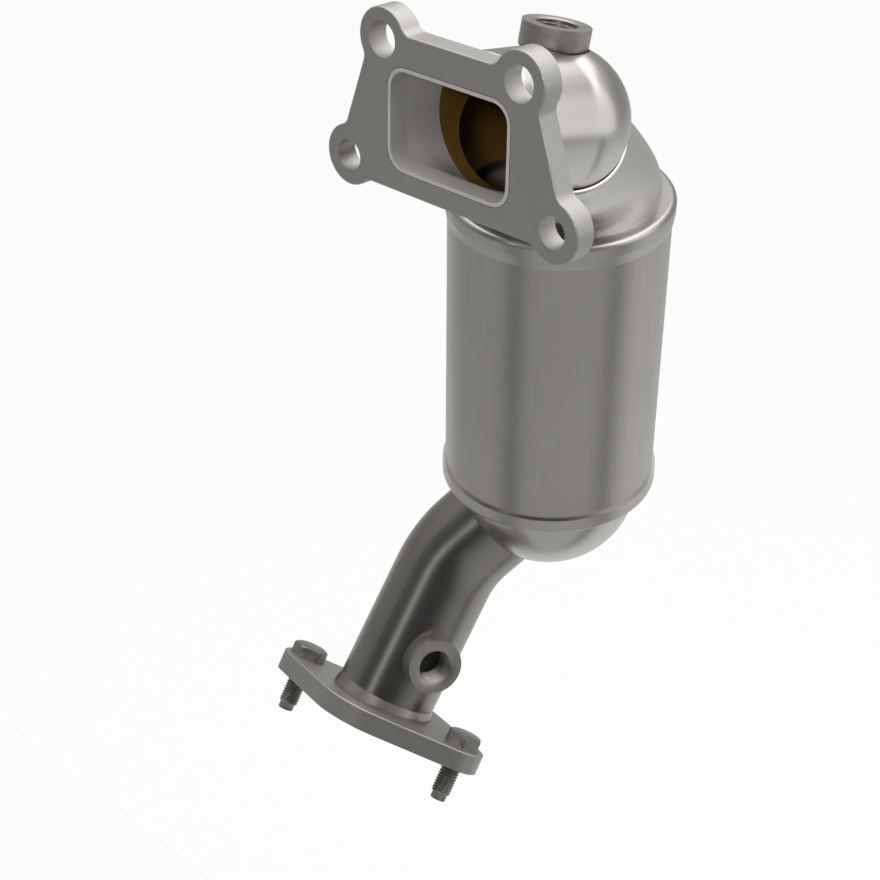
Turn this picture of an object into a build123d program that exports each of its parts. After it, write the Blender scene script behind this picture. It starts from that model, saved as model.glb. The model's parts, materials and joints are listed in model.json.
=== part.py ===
from build123d import *
import math
import os

# Close-coupled catalytic converter, all sizes in millimetres.
# Origin: centre of the rectangular port on the mating face of the inlet flange.
# -Y leaves that face towards the engine, +X is right and +Z up as seen from there.

# Sheet metal of the shells and the pipe, and the distance at which a point lies on a face
WALL = 1.6
TOUCH = 0.01

# Inlet flange
FLANGE_T = 9.0
FLANGE_ROUND = 0.8
TOP_HOLE_X = 34.5
TOP_HOLE_Z = 28.8
TOP_HOLE_R = 7.0
LOW_HOLE_X = 52.7
LOW_HOLE_Z = -21.5
LOW_HOLE_R = 6.25
LOBE_R = 12.2
LOBE_FILLET = 5.0
WEB_TOP_DROP = 8.2
WEB_LOW_RISE = 4.7
WEB_TOP_OUT = 5.2
WEB_LOW_OUT = 9.2

# Port and the pressed transition behind it
PORT_HALF_X = 31.4
PORT_HALF_Z = 20.6
PORT_CORNER_R = 9.0
TRANSITION_L = 16.0
NECK_X = -1.5
NECK_Z = -2.5
NECK_R = 28.7

# Ball-shaped dome: its centre from the neck joint, and the way out of it
BALL_R = 30.0
BALL_RUN = (1.2, 34.8, -5.6)
FLOW = Vector(-0.69, 0.23, -0.69).normalized()
NECK_END_R = 29.5
DOME_LAP = 5.0
LAP_SWELL = 0.1

# Inlet cone: collar round the dome, then the shell that opens out to the canister
COLLAR_FIT = 0.4
COLLAR_L = 7.0
COLLAR_RISE = 1.5
CONE_RUN = (-57.3, 72.6, -66.1)
CONE_SEAM_IN = 4.3
CONE_DOME_IN = 1.2
CONE_DOME_H = 41.0
CONE_FILLET = 6.0
CONE_LAP = 3.0
DUCT_IN = 4.3
DUCT_FOOT = 6.0
NECK_GAP = 0.3

# Canister, with its axis leaning a little in the frame of the flange
CAN_AXIS = Vector(0.0703, -0.0894, 0.9935).normalized()
CAN_R = 50.8

# End rings
UPPER_RING_WALL = 1.2
UPPER_RING_H = 12.0
UPPER_RING_TAPER = 5.0
UPPER_RING_STEP = 0.4
UPPER_RING_ROUND = 2.8
LOWER_RING_WALL = 1.4
LOWER_RING_H = 7.3
LOWER_RING_ROUND = 1.5

# Catalyst bricks and what holds them; with their gaps they set the length of the canister
MAT_T = 4.0
BRICK_L = 60.0
BRICK_TOP_GAP = 10.0
BRICK_GAP = 14.0
BRICK_LOW_GAP = 3.9
SEAL_H = 4.0

# Outlet bowl
BOWL_R = 44.4
BOWL_DROP = 3.0
BOWL_LAP = 4.0

# Outlet pipe: corner of its bend from the middle of the bowl, then the leg to the flange
PIPE_R = 25.4
PIPE_ROOT = 24.0
PIPE_CORNER = (-30.5, -34.0, -46.5)
PIPE_BEND_R = 60.0
PIPE_RUN = 84.25
PIPE_END = Vector(-0.0432, -0.5537, -0.8316).normalized()
FOOT_R = 26.75
FOOT_L = 6.0
FOOT_STEP = 1.5
FOOT_RECESS = 1.5

# Sensor bungs, two of the same: a boss with a chamfered foot and a spigot in the hole of the sheet
BUNG_R = 13.7
BUNG_H = 9.7
BUNG_FOOT_CHAMFER = 1.6
BUNG_BORE_R = 8.2
BUNG_CHAMFER = 0.4
SPIGOT_R = 11.0
SPIGOT_L = 5.0
SPIGOT_GAP = 0.4
SEAT_CLEARANCE = 0.6
UPPER_BUNG_AXIS = Vector(0.03, 0.17, 0.985).normalized()
UPPER_BUNG_FACE = (-3.8, 3.8, 36.9)
LOWER_BUNG_AXIS = Vector(0.89, -0.399, 0.221)
LOWER_BUNG_UP = 33.65
LOWER_BUNG_RISE = 10.0

# Outlet flange
OUT_NORMAL = Vector(-0.0077, -0.54, -0.8416).normalized()
OUT_ACROSS = Vector(0.9831, 0.1499, -0.1052)
OUT_T = 10.2
OUT_R = 37.0
OUT_LOBE_R = 12.3
OUT_ROUND = 0.8
BOLT_SPACING = 49.7
BOLT_CLEARANCE = 0.5

# Bolts, M10 x 30
BOLT_R = 5.0
BOLT_L = 29.4
BOLT_HEAD_H = 6.3
BOLT_ACROSS_FLATS = 16.0
BOLT_FACE_IN = 0.3
BOLT_HEAD_CHAMFER = 1.0
BOLT_CHAMFER_ANGLE = 30.0
BOLT_THREAD_R = 4.7
BOLT_THREAD_START = 0.8
BOLT_RUNOUT = 0.5
BOLT_POINT_R = 3.9
BOLT_POINT_L = 3.0
BOLT_POINT_CHAMFER = 0.8
LEFT_BOLT_TURN = 30.0
RIGHT_BOLT_TURN = 0.0

# Places along the gas path, each from the one before it
neck_joint = Vector(NECK_X, FLANGE_T + TRANSITION_L, NECK_Z)
ball = neck_joint + Vector(*BALL_RUN)
cone_side = CAN_AXIS.cross(FLOW.cross(CAN_AXIS)).normalized()
mouth = Plane(ball - FLOW * COLLAR_RISE, x_dir=FLOW.cross(cone_side), z_dir=FLOW)
can_top = mouth.origin + Vector(*CONE_RUN)
can = Plane(can_top, x_dir=cone_side, z_dir=CAN_AXIS)
seam_r = CAN_R - CONE_SEAM_IN
cone_r = seam_r - CONE_DOME_IN
can_foot = -(BRICK_TOP_GAP + 2 * BRICK_L + BRICK_GAP + BRICK_LOW_GAP)
ring_low = can_foot - LOWER_RING_H
bowl_centre = can_top + CAN_AXIS * (ring_low - BOWL_DROP)
pipe_corner = bowl_centre + Vector(*PIPE_CORNER)
pipe_start = Vector(*PIPE_CORNER).normalized()
pipe_root = bowl_centre + pipe_start * PIPE_ROOT
out_top = pipe_corner + PIPE_END * PIPE_RUN
outlet = Plane(out_top, x_dir=OUT_ACROSS, z_dir=OUT_NORMAL)


def tube(plane, radius, start, end):
    """Solid cylinder on a plane, between two distances along its normal."""
    return extrude(plane.offset(start) * Circle(radius), end - start)


def port_outline(inset):
    """Rounded rectangle of the port sleeve, set in by a distance."""
    return RectangleRounded(
        2 * (PORT_HALF_X - inset), 2 * (PORT_HALF_Z - inset), PORT_CORNER_R - inset
    )


def flange_plane(depth):
    """Plane of the inlet flange at a depth behind its mating face."""
    return Plane((0, depth, 0), x_dir=(1, 0, 0), z_dir=(0, -1, 0))


def transition_body(inset):
    """Rectangular sleeve in the flange, then the change to the round neck."""
    sleeve = extrude(flange_plane(FLANGE_T) * port_outline(inset), FLANGE_T)
    neck = Plane(neck_joint, x_dir=(1, 0, 0), z_dir=(0, -1, 0)) * Circle(NECK_R - inset)
    return sleeve + loft([(flange_plane(FLANGE_T) * port_outline(inset)).face(), neck.face()])


def dome_body(inset):
    """Neck and ball of the dome, its lap in the collar and the flat seat pressed for the bung."""
    along = ball - neck_joint
    start = Plane(neck_joint, x_dir=(1, 0, 0), z_dir=(0, 1, 0)) * Circle(NECK_R - inset)
    end = Plane(ball, x_dir=(1, 0, 0), z_dir=along) * Circle(NECK_END_R - inset)
    lap = tube(mouth, BALL_R + LAP_SWELL - inset, 0, COLLAR_RISE + DOME_LAP)
    low = -BUNG_H - BUNG_FOOT_CHAMFER
    seat = tube(upper_bung_plane(), BUNG_R + SEAT_CLEARANCE + inset, low - inset, 0)
    return loft([start.face(), end.face()]) + Pos(*ball) * Sphere(BALL_R - inset) + lap - seat


def joined(first, second, radius):
    """Two bodies as one, with a fillet along the line where they meet."""
    both = first + second
    return fillet(new_edges(first, second, combined=both), radius)


def cone_body(inset):
    """Collar, tapered duct and domed end of the inlet cone, set in by a distance."""
    collar_r = BALL_R + COLLAR_FIT + WALL - inset
    plug = seam_r - inset
    wide = cone_r - inset
    high = CONE_DOME_H - inset
    curve = EllipticalCenterArc((0, 0), wide, high, start_angle=0, arc_size=90)
    foot = Polyline((0, high), (0, -CONE_LAP), (plug, -CONE_LAP), (plug, 0), (wide, 0))
    domed_end = can.location * revolve(Plane.XZ * make_face(curve + foot), Axis.Z)
    start = mouth.offset(COLLAR_L) * Circle(collar_r)
    level = Plane(can_top + CAN_AXIS * DUCT_FOOT, x_dir=cone_side, z_dir=-CAN_AXIS)
    duct = loft([start.face(), (level * Circle(wide - DUCT_IN)).face()])
    return joined(domed_end, duct, CONE_FILLET + inset) + tube(mouth, collar_r, 0, COLLAR_L)


def bowl_body(inset):
    """Half-ball bowl with a straight rim, set in by a distance."""
    radius = BOWL_R - inset
    below = tube(can, radius, ring_low - BOWL_DROP - radius, ring_low - BOWL_DROP)
    rim = tube(can, radius, ring_low - BOWL_DROP, ring_low + BOWL_LAP)
    return (Plane(bowl_centre, z_dir=pipe_start).location * Sphere(radius) & below) + rim


def pipe_body(inset):
    """Bent pipe from inside the bowl to its flared foot, set in by a distance."""
    foot_top = out_top - PIPE_END * FOOT_L
    path = FilletPolyline(pipe_root, pipe_corner, foot_top, radius=PIPE_BEND_R)
    pipe = sweep(Plane(pipe_root, z_dir=pipe_start) * Circle(PIPE_R - inset), path=path)
    upper = Plane(foot_top, x_dir=OUT_ACROSS, z_dir=PIPE_END) * Circle(PIPE_R - inset)
    lower = outlet.offset(-FOOT_STEP) * Circle(FOOT_R - inset)
    flare = loft([upper.face(), lower.face()])
    return pipe + flare + tube(outlet, FOOT_R - inset, -FOOT_STEP, OUT_T - FOOT_RECESS)


def inlet_flange():
    """Four-lobed plate with the port and its bolt holes."""
    web_top = TOP_HOLE_Z + LOBE_R - WEB_TOP_DROP
    web_low = LOW_HOLE_Z - LOBE_R + WEB_LOW_RISE
    top_out = TOP_HOLE_X + WEB_TOP_OUT
    low_out = LOW_HOLE_X + WEB_LOW_OUT
    corners = [(-low_out, web_low), (low_out, web_low), (top_out, web_top), (-top_out, web_top)]
    web = make_face(Polyline(*corners, close=True))
    holes = [(side * TOP_HOLE_X, TOP_HOLE_Z, TOP_HOLE_R) for side in (-1, 1)]
    holes += [(side * LOW_HOLE_X, LOW_HOLE_Z, LOW_HOLE_R) for side in (-1, 1)]
    plate = web
    for x, z, _ in holes:
        plate += Pos(x, z) * Circle(LOBE_R)
    notches = [v for v in plate.vertices() if web.distance_to(v) < TOUCH]
    plate = fillet(notches, LOBE_FILLET)
    solid = extrude(flange_plane(FLANGE_T) * plate, FLANGE_T)
    solid = fillet(solid.faces().sort_by(Axis.Y)[0].outer_wire().edges(), FLANGE_ROUND)
    for x, z, radius in holes:
        solid -= extrude(flange_plane(FLANGE_T) * Pos(x, z) * Circle(radius), FLANGE_T)
    solid -= extrude(flange_plane(FLANGE_T) * port_outline(0), FLANGE_T)
    return solid


def inlet_transition():
    """Pressed sheet from the port to the round neck."""
    return transition_body(0) - transition_body(WALL)


def inlet_dome():
    """Ball-shaped elbow shell, open at the neck and into the cone."""
    shell = dome_body(0) - dome_body(WALL)
    lap_end = COLLAR_RISE + DOME_LAP
    shell -= tube(mouth, BALL_R + COLLAR_FIT, lap_end, 2 * BALL_R + lap_end)
    return shell - tube(upper_bung_plane(), SPIGOT_R + SPIGOT_GAP, -BALL_R, 0)


def upper_bung_plane():
    """Top face of the upper sensor bung."""
    return Plane(ball + Vector(*UPPER_BUNG_FACE), z_dir=UPPER_BUNG_AXIS)


def bung(plane, carrier):
    """Threaded boss, its foot cut to the sheet that carries it, with its spigot in the hole there."""
    foot_r = BUNG_R - BUNG_FOOT_CHAMFER
    low = -BUNG_H - BUNG_FOOT_CHAMFER
    boss = make_face(Polyline(
        (0, 0), (BUNG_R, 0), (BUNG_R, -BUNG_H), (foot_r, low), (0, low), close=True,
    ))
    end = -BUNG_H - SPIGOT_L
    bore = make_face(Polyline(
        (0, 0), (BUNG_BORE_R + BUNG_CHAMFER, 0), (BUNG_BORE_R, -BUNG_CHAMFER),
        (BUNG_BORE_R, end), (0, end), close=True,
    ))
    body = plane.location * revolve(Plane.XZ * boss, Axis.Z) - carrier
    body += tube(plane, SPIGOT_R, end, low)
    body += tube(plane, SPIGOT_R, low, 0)
    return body - plane.location * revolve(Plane.XZ * bore, Axis.Z)


def inlet_cone():
    """Collar and bulged shell between the dome and the canister."""
    shell = cone_body(0) - cone_body(WALL)
    return shell - dome_body(-NECK_GAP)


def upper_end_ring():
    """Pressed ring that closes the top of the canister round the cone."""
    outer = CAN_R + UPPER_RING_WALL
    thin = CAN_R + UPPER_RING_STEP
    taper = UPPER_RING_TAPER - UPPER_RING_H
    section = make_face(Polyline(
        (seam_r, -WALL), (CAN_R, -WALL), (CAN_R, -UPPER_RING_H), (thin, -UPPER_RING_H),
        (outer, taper), (outer, 0), (seam_r, 0), close=True,
    ))
    shoulder = section.vertices().sort_by_distance((outer, 0))[0]
    return can.location * revolve(Plane.XZ * fillet(shoulder, UPPER_RING_ROUND), Axis.Z)


def lower_end_ring():
    """Pressed ring that closes the foot of the canister round the bowl."""
    outer = CAN_R + LOWER_RING_WALL
    floor = ring_low + WALL
    section = make_face(Polyline(
        (BOWL_R, ring_low), (outer, ring_low), (outer, can_foot), (CAN_R, can_foot),
        (CAN_R, floor), (BOWL_R, floor), close=True,
    ))
    corner = section.vertices().sort_by_distance((outer, ring_low))[0]
    return can.location * revolve(Plane.XZ * fillet(corner, LOWER_RING_ROUND), Axis.Z)


def ring(outer, inner, top, height):
    """Ring or tube about the canister axis, from its top station down."""
    return tube(can, outer, top - height, top) - tube(can, inner, top - height, top)


def canister_shell():
    """Rolled and welded tube of the canister."""
    return ring(CAN_R, CAN_R - WALL, -WALL, -WALL - (ring_low + WALL))


def brick_top(number):
    """Station of the upper face of a brick, counted from the inlet."""
    return -BRICK_TOP_GAP - number * (BRICK_L + BRICK_GAP)


def substrate(number):
    """Ceramic brick."""
    top = brick_top(number)
    return tube(can, CAN_R - WALL - MAT_T, top - BRICK_L, top)


def mat(number):
    """Swelling mat round a brick, between its two edge seals."""
    inner = CAN_R - WALL - MAT_T
    return ring(CAN_R - WALL, inner, brick_top(number) - SEAL_H, BRICK_L - 2 * SEAL_H)


def mat_seal(number, low):
    """Knitted edge seal at one end of a mat."""
    inner = CAN_R - WALL - MAT_T
    top = brick_top(number) - low * (BRICK_L - SEAL_H)
    return ring(CAN_R - WALL, inner, top, SEAL_H)


def outlet_bowl():
    """Pressed bowl under the canister, with the hole that the pipe is welded round."""
    hole = tube(Plane(bowl_centre, z_dir=pipe_start), PIPE_R - WALL, 0, 2 * BOWL_R)
    return bowl_body(0) - bowl_body(WALL) - hole


def outlet_pipe():
    """Bent pipe with its flared foot and the hole of the lower sensor."""
    pipe = pipe_body(0) - pipe_body(WALL) - bowl_body(0)
    return pipe - tube(lower_bung_plane(), SPIGOT_R + SPIGOT_GAP, -PIPE_R, 0)


def upper_sensor_bung():
    """Boss on the dome."""
    return bung(upper_bung_plane(), dome_body(0))


def lower_bung_plane():
    """Face of the lower sensor bung, out from the axis of the pipe."""
    foot = out_top - PIPE_END * LOWER_BUNG_UP
    out = (LOWER_BUNG_AXIS - PIPE_END * LOWER_BUNG_AXIS.dot(PIPE_END)).normalized()
    return Plane(foot + out * (PIPE_R + LOWER_BUNG_RISE), z_dir=out)


def lower_sensor_bung():
    """Boss on the outlet pipe."""
    return bung(lower_bung_plane(), pipe_body(0))


def outlet_flange():
    """Two-lobed plate with the hole of the pipe and the bolt holes."""
    lobes = [Pos(side * BOLT_SPACING, 0) * Circle(OUT_LOBE_R) for side in (-1, 1)]
    rims = Circle(OUT_R).edges() + lobes[0].edges() + lobes[1].edges()
    plate = extrude(outlet * make_hull(rims), OUT_T)
    plate = fillet(plate.faces().sort_by(outlet_axis())[0].edges(), OUT_ROUND)
    plate -= tube(outlet, FOOT_R, 0, OUT_T)
    for side in (-1, 1):
        plate -= tube(bolt_plane(side, 0), BOLT_R + BOLT_CLEARANCE, 0, OUT_T)
    return plate


def outlet_axis():
    """Axis of the outlet flange, outwards."""
    return Axis(out_top, OUT_NORMAL)


def bolt_plane(side, turn):
    """Seat of a bolt on the outlet flange, turned about its own axis."""
    return Plane(outlet.location * Pos(side * BOLT_SPACING, 0) * Rot(0, 0, turn))


def outlet_bolt(side, turn):
    """Hexagon bolt: head on the flange, plain shank through it, then the thread and a dog point."""
    half = BOLT_ACROSS_FLATS / 2
    prism = extrude(RegularPolygon(half, 6, major_radius=False), -BOLT_HEAD_H)
    face_r = half - BOLT_FACE_IN
    rim = face_r + BOLT_HEAD_CHAMFER / math.tan(math.radians(BOLT_CHAMFER_ANGLE))
    lathe = make_face(Polyline(
        (0, -BOLT_HEAD_H), (face_r, -BOLT_HEAD_H), (rim, BOLT_HEAD_CHAMFER - BOLT_HEAD_H),
        (rim, 0), (0, 0), close=True,
    ))
    head = prism & revolve(Plane.XZ * lathe, Axis.Z)
    thread = OUT_T + BOLT_THREAD_START
    neck = BOLT_L - BOLT_POINT_L
    shank = make_face(Polyline(
        (0, 0), (BOLT_R, 0), (BOLT_R, thread - BOLT_RUNOUT), (BOLT_THREAD_R, thread),
        (BOLT_THREAD_R, neck - BOLT_POINT_CHAMFER), (BOLT_POINT_R, neck),
        (BOLT_POINT_R, BOLT_L), (0, BOLT_L), close=True,
    ))
    return bolt_plane(side, turn).location * (head + revolve(Plane.XZ * shank, Axis.Z))


pieces = {
    "inlet_flange": inlet_flange(),
    "inlet_transition": inlet_transition(),
    "inlet_dome": inlet_dome(),
    "upper_sensor_bung": upper_sensor_bung(),
    "inlet_cone": inlet_cone(),
    "upper_end_ring": upper_end_ring(),
    "canister_shell": canister_shell(),
    "front_substrate": substrate(0),
    "rear_substrate": substrate(1),
    "front_mat": mat(0),
    "rear_mat": mat(1),
    "front_mat_seal_upper": mat_seal(0, 0),
    "front_mat_seal_lower": mat_seal(0, 1),
    "rear_mat_seal_upper": mat_seal(1, 0),
    "rear_mat_seal_lower": mat_seal(1, 1),
    "lower_end_ring": lower_end_ring(),
    "outlet_bowl": outlet_bowl(),
    "outlet_pipe": outlet_pipe(),
    "lower_sensor_bung": lower_sensor_bung(),
    "outlet_flange": outlet_flange(),
    "outlet_bolt_left": outlet_bolt(-1, LEFT_BOLT_TURN),
    "outlet_bolt_right": outlet_bolt(1, RIGHT_BOLT_TURN),
}

os.makedirs("parts", exist_ok=True)
for name, piece in pieces.items():
    export_step(piece, "parts/" + name + ".step")
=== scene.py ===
import json
import math

import bmesh
import bpy
from mathutils import Matrix, Quaternion, Vector


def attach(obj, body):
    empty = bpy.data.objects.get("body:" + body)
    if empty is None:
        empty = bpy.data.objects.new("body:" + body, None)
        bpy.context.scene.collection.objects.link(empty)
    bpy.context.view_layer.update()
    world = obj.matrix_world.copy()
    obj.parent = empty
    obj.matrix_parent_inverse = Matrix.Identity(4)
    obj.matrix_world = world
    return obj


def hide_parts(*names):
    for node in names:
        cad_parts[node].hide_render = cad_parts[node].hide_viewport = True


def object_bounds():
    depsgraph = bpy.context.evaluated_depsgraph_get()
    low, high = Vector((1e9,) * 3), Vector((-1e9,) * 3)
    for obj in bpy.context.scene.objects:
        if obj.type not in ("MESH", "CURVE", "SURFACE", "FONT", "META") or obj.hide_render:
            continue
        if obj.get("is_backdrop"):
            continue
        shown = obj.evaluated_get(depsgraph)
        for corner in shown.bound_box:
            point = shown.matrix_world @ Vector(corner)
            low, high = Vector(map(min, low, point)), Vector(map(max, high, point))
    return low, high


# Close-coupled catalytic converter. Metres, in the frame of the inlet flange:
# -Y leaves its mating face, +Z is up, and the canister stands nearly upright.
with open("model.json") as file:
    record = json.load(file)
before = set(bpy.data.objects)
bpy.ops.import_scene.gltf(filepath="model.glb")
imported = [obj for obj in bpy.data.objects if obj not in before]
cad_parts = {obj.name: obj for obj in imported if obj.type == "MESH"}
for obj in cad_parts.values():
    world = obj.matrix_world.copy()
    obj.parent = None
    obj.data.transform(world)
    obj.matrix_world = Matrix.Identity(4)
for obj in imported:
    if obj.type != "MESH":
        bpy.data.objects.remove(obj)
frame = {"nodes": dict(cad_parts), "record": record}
cad_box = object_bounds()

# Camera
# Stands in front of the inlet face, to its right and above it, and looks down on the part.
# The lens and the small roll are those of the product photograph.
camera = bpy.data.objects.new("camera", bpy.data.cameras.new("camera"))
bpy.context.scene.collection.objects.link(camera)
bpy.context.scene.camera = camera
camera.data.lens = 77.4
camera.data.sensor_width = 36.0
camera.data.clip_end = 20.0
camera.location = (0.45894, -0.47261, 0.24338)
sight_line = Vector((-0.60747, 0.62480, -0.49051))
camera_roll = math.radians(1.07)
camera.rotation_mode = "QUATERNION"
camera.rotation_quaternion = sight_line.to_track_quat("-Z", "Y") @ Quaternion((0, 0, 1), camera_roll)
bpy.context.scene.view_settings.view_transform = "Standard"

# Studio
# A pale floor under a white surround, as the camera sees them. What the metal mirrors also has
# two dark strips on the floor and a darker side in front, which give it its soft bands.
FLOOR_SIZE = 8.0
FLOOR_DROP = 0.30
FLOOR_WHITE = 0.92
STRIPS_FROM = (-0.06, 0.14)
STRIP_BEARINGS = (math.radians(-93), math.radians(17))
STRIP_EDGE = (0.08, 0.24)
STRIP_TONE = 0.40
RIGHT_EDGE = (0.25, 0.9)
DARK_SIDE = Vector((0.30, -0.90, 0.31))
DARK_EDGE = (0.30, 0.85)
DARK_DEPTH = 0.85
BEAM_TO = Vector((-0.005, 0.02, -0.004))


def add(tree, kind, settings=None, inputs=None):
    """Adds a node with its settings. An input is a value, or a socket to link from."""
    made = tree.nodes.new(kind)
    for key, value in (settings or {}).items():
        setattr(made, key, value)
    for key, value in (inputs or {}).items():
        if isinstance(value, bpy.types.NodeSocket):
            tree.links.new(value, made.inputs[key])
        else:
            made.inputs[key].default_value = value
    return made


def linear(code):
    """Linear colour of an sRGB hex value."""
    parts = [int(code[k : k + 2], 16) / 255 for k in (1, 3, 5)]
    curve = [p / 12.92 if p <= 0.04045 else ((p + 0.055) / 1.055) ** 2.4 for p in parts]
    return (*curve, 1.0)


low, high = cad_box
bpy.ops.mesh.primitive_plane_add(size=FLOOR_SIZE, location=(0, 0, low.z - FLOOR_DROP))
floor = bpy.context.object
floor.name = "floor"

# Matt pale paint. The camera sees it near white, with the part's soft shadow on it.
floor_paint = bpy.data.materials.new("studio_floor_paint")
floor_paint.use_nodes = True
tree = floor_paint.node_tree
tree.nodes.clear()
path = add(tree, "ShaderNodeLightPath")
seen = add(tree, "ShaderNodeMath", {"operation": "MAXIMUM"},
           {0: path.outputs["Is Camera Ray"], 1: path.outputs["Is Transmission Ray"]})
spot = add(tree, "ShaderNodeSeparateXYZ", inputs={
    0: add(tree, "ShaderNodeTexCoord").outputs["Object"]})
east = add(tree, "ShaderNodeMath", {"operation": "SUBTRACT"}, {0: spot.outputs[0], 1: STRIPS_FROM[0]})
north = add(tree, "ShaderNodeMath", {"operation": "SUBTRACT"}, {0: spot.outputs[1], 1: STRIPS_FROM[1]})
bearing = add(tree, "ShaderNodeMath", {"operation": "ARCTAN2"},
              {0: north.outputs[0], 1: east.outputs[0]})
strips = []
for side in STRIP_BEARINGS:
    off = add(tree, "ShaderNodeMath", {"operation": "SUBTRACT"}, {0: bearing.outputs[0], 1: side})
    near = add(tree, "ShaderNodeMath", {"operation": "ABSOLUTE"}, {0: off.outputs[0]})
    strips.append(add(tree, "ShaderNodeMapRange", {"interpolation_type": "SMOOTHSTEP"},
                      {0: near.outputs[0], 1: STRIP_EDGE[0], 2: STRIP_EDGE[1], 3: STRIP_TONE, 4: 1.0}))
both = add(tree, "ShaderNodeMath", {"operation": "MULTIPLY"},
           {0: strips[0].outputs[0], 1: strips[1].outputs[0]})
right = add(tree, "ShaderNodeMapRange", {"interpolation_type": "SMOOTHSTEP"},
            {0: bearing.outputs[0], 1: RIGHT_EDGE[0], 2: RIGHT_EDGE[1], 3: 0.0, 4: 1.0})
pale = add(tree, "ShaderNodeMix", {"data_type": "RGBA"},
           {0: right.outputs[0], 6: linear("#bebebc"), 7: linear("#e0e0de")})
plain = add(tree, "ShaderNodeMath", {"operation": "MAXIMUM"},
            {0: both.outputs[0], 1: seen.outputs[0]})
tone = add(tree, "ShaderNodeMix", {"data_type": "RGBA"},
           {0: plain.outputs[0], 6: linear("#3c3c3c"), 7: pale.outputs[2]})
matt = add(tree, "ShaderNodeBsdfDiffuse", inputs={"Color": tone.outputs[2]})
white = add(tree, "ShaderNodeEmission", inputs={"Color": linear("#ffffff"), "Strength": 1.0})
shown = add(tree, "ShaderNodeMath", {"operation": "MULTIPLY"}, {0: seen.outputs[0], 1: FLOOR_WHITE})
mix = add(tree, "ShaderNodeMixShader",
          inputs={0: shown.outputs[0], 1: matt.outputs[0], 2: white.outputs[0]})
add(tree, "ShaderNodeOutputMaterial", inputs={"Surface": mix.outputs[0]})
floor.data.materials.append(floor_paint)
floor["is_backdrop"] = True

world = bpy.data.worlds.new("studio_surround")
bpy.context.scene.world = world
world.use_nodes = True
tree = world.node_tree
tree.nodes.clear()
way = add(tree, "ShaderNodeTexCoord")
split = add(tree, "ShaderNodeSeparateXYZ", inputs={0: way.outputs["Object"]})
height = add(tree, "ShaderNodeMapRange", inputs={0: split.outputs[2], 1: -1.0, 2: 1.0})
ramp = add(tree, "ShaderNodeValToRGB", inputs={0: height.outputs[0]})
steps = [(0.0, "#b4b4b2"), (0.46, "#a4a3a1"), (0.60, "#9a9997"), (0.75, "#c0bfbd"), (0.92, "#ffffff")]
while len(ramp.color_ramp.elements) < len(steps):
    ramp.color_ramp.elements.new(0.5)
for element, (place, shade) in zip(ramp.color_ramp.elements, steps):
    element.position = place
    element.color = linear(shade)
towards = add(tree, "ShaderNodeVectorMath", {"operation": "DOT_PRODUCT"},
              {0: way.outputs["Object"], 1: DARK_SIDE})
dark = add(tree, "ShaderNodeMapRange", {"interpolation_type": "SMOOTHSTEP"},
           {0: towards.outputs["Value"], 1: DARK_EDGE[0], 2: DARK_EDGE[1], 3: 0.0, 4: DARK_DEPTH})
dim = add(tree, "ShaderNodeMix", {"data_type": "RGBA"},
          {0: dark.outputs[0], 6: ramp.outputs[0], 7: linear("#0c0c0c")})
path = add(tree, "ShaderNodeLightPath")
seen = add(tree, "ShaderNodeMath", {"operation": "MAXIMUM"},
           {0: path.outputs["Is Camera Ray"], 1: path.outputs["Is Transmission Ray"]})
shown = add(tree, "ShaderNodeMix", {"data_type": "RGBA"},
            {0: seen.outputs[0], 6: dim.outputs[2], 7: linear("#fcfcfc")})
ground = add(tree, "ShaderNodeBackground", inputs={"Color": shown.outputs[2], "Strength": 1.0})
add(tree, "ShaderNodeOutputWorld", inputs={0: ground.outputs[0]})


def softbox(name, place, target, size, watts):
    """Area lamp at a place, turned to a target."""
    data = bpy.data.lights.new(name, "AREA")
    data.shape = "RECTANGLE"
    data.size, data.size_y = size
    data.energy = watts
    lamp = bpy.data.objects.new(name, data)
    bpy.context.scene.collection.objects.link(lamp)
    lamp.location = place
    lamp.rotation_euler = (Vector(target) - Vector(place)).to_track_quat("-Z", "Y").to_euler()


middle = (low + high) / 2
softbox("overhead_softbox", (0.0, 0.2, 1.0), middle, (2.0, 2.0), 16.0)
softbox("right_softbox", (1.1, 0.8, 0.35), middle, (1.1, 1.5), 4.0)
softbox("front_strip", (-0.10, -1.1, 0.34), middle, (0.05, 0.8), 0.7)

# Narrow beam that lights the inside of the port
port_beam = bpy.data.lights.new("port_beam", "SPOT")
port_beam.energy = 45.0
port_beam.spot_size = math.radians(5.4)
port_beam.spot_blend = 1.0
port_beam.shadow_soft_size = 0.06
beam = bpy.data.objects.new("port_beam", port_beam)
bpy.context.scene.collection.objects.link(beam)
beam.location = (0.36, -0.42, 0.22)
beam.rotation_euler = (BEAM_TO - beam.location).to_track_quat("-Z", "Y").to_euler()

# Inlet flange
# Thick four-lobed plate, cut from steel sheet, drilled and blasted. The pressed sleeve of the
# port stands flush in it, with a hair-thin seam all round, drawn 0.44 mm wide so that it shows.
MM = 0.001
nodes = frame["nodes"]
PORT_HALF_X = 31.4 * MM
PORT_HALF_Z = 20.6 * MM
PORT_CORNER = 9.0 * MM
SEAM_HALF = 0.22 * MM
SEAM_DEPTH = 0.1 * MM


def metal(name):
    """New material with one metallic shader on the piece's own coordinates."""
    made = bpy.data.materials.new(name)
    made.use_nodes = True
    tree = made.node_tree
    tree.nodes.clear()
    shader = add(tree, "ShaderNodeBsdfPrincipled", inputs={"Metallic": 1.0})
    add(tree, "ShaderNodeOutputMaterial", inputs={"Surface": shader.outputs[0]})
    place = add(tree, "ShaderNodeTexCoord").outputs["Object"]
    return made, tree, shader, place


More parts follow.
